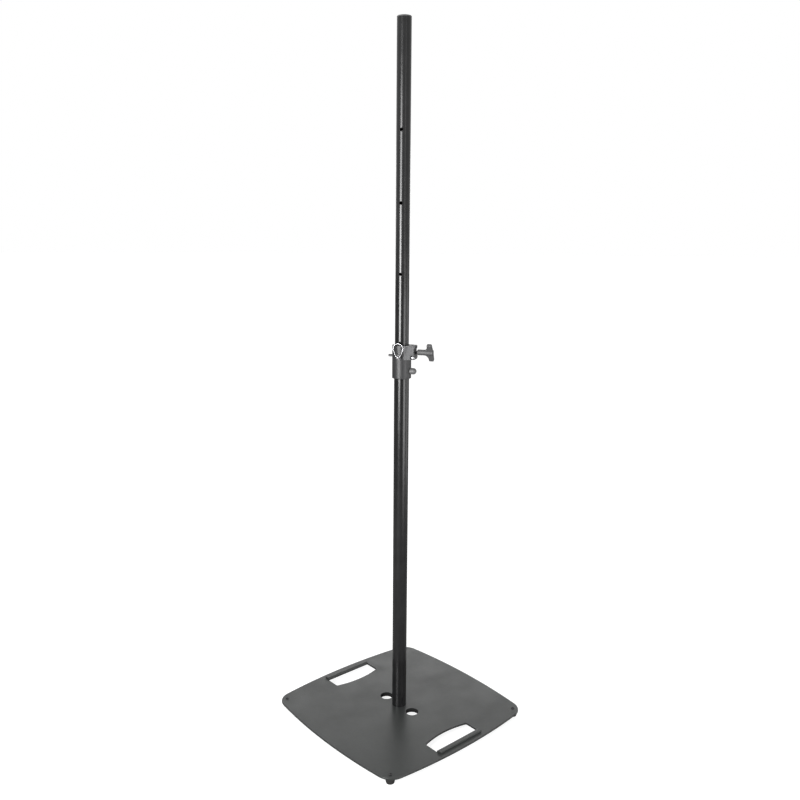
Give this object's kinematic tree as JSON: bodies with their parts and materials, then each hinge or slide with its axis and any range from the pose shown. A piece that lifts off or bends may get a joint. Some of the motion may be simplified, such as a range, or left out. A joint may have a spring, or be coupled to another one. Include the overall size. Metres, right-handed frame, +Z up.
{
  "type": "pa speaker stand",
  "caption": "Telescopic steel loudspeaker stand: a round pole in two sections with a clamp collar, on a square base plate with carrying grips.",
  "frame": {"origin": "on the floor, under the axis of the pole", "axes": "+Z up along the pole; +X and -X towards the two carrying grips; the clamp screw points 32 degrees from +X towards +Y"},
  "size_m": [0.508, 0.508, 1.775],
  "materials": {
    "plate_paint": "satin powder coat, dark grey",
    "tube_paint": "semi-gloss black powder coat",
    "collar_paint": "fine-textured black-grey powder coat on a casting",
    "knob_plastic": "satin black moulding",
    "cap_plastic": "matt dark grey moulding",
    "nylon": "smooth black bearing plastic",
    "rubber": "matt black",
    "black_steel": "black oxide",
    "zinc_steel": "bright zinc",
    "spring_steel": "drawn wire",
    "chrome": "polished nickel and chrome plate",
    "brass": "turned"
  },
  "bodies": {
    "stand": {"base_plate": "plate_paint", "hole_rings": "plate_paint", "rubber_feet": "rubber", "foot_screws": "black_steel", "foot_washers": "zinc_steel", "foot_nuts": "zinc_steel", "tube_foot_plug": "zinc_steel", "center_washer": "zinc_steel", "center_bolt": "zinc_steel", "lower_tube": "tube_paint", "clamp_collar": "collar_paint", "collar_bush": "nylon", "collar_fixing_screw": "zinc_steel", "fixing_screw_cap": "cap_plastic", "guide_screw": "black_steel", "cross_bolt": "chrome", "cross_bolt_nut": "black_steel", "captive_nut": "zinc_steel", "plunger_barrel": "black_steel"},
    "mast": {"upper_tube": "tube_paint", "tube_top_cap": "cap_plastic", "tube_guide_ring": "nylon"},
    "shoe": {"brake_shoe": "brass"},
    "clamp_knob": {"clamp_screw": "zinc_steel", "wing_knob": "knob_plastic"},
    "plunger": {"plunger_pin": "zinc_steel", "plunger_head": "chrome", "plunger_spring": "spring_steel"},
    "ring": {"pull_ring": "chrome"}
  },
  "joints": [
    {"name": "mast_slide", "type": "slide", "parent": "stand", "child": "mast", "axis": [0, 0, 1], "range_m": [-0.7, 0.02]},
    {"name": "shoe_slide", "type": "slide", "parent": "stand", "child": "shoe", "axis": [0.848, 0.5299, 0], "range_m": [0, 0.00187]},
    {"name": "knob_turn", "type": "hinge", "parent": "shoe", "child": "clamp_knob", "pos_m": [0.0424, 0.0265, 0.987], "axis": [0.848, 0.5299, 0], "range_deg": [0, 540]},
    {"name": "plunger_pull", "type": "slide", "parent": "stand", "child": "plunger", "axis": [0.5299, -0.848, 0], "range_m": [0, 0.0015], "stiffness_N_per_m": 2500, "springref_m": -0.0042, "deforming": ["plunger_spring"]},
    {"name": "ring_swing", "type": "hinge", "parent": "plunger", "child": "ring", "pos_m": [0.01775, -0.02841, 0.978], "axis": [0.848, 0.5299, 0], "range_deg": [0, 180]}
  ],
  "couplings": [
    {"joint": "knob_turn", "follows": "shoe_slide", "rad_per_m": 5026.5}
  ]
}
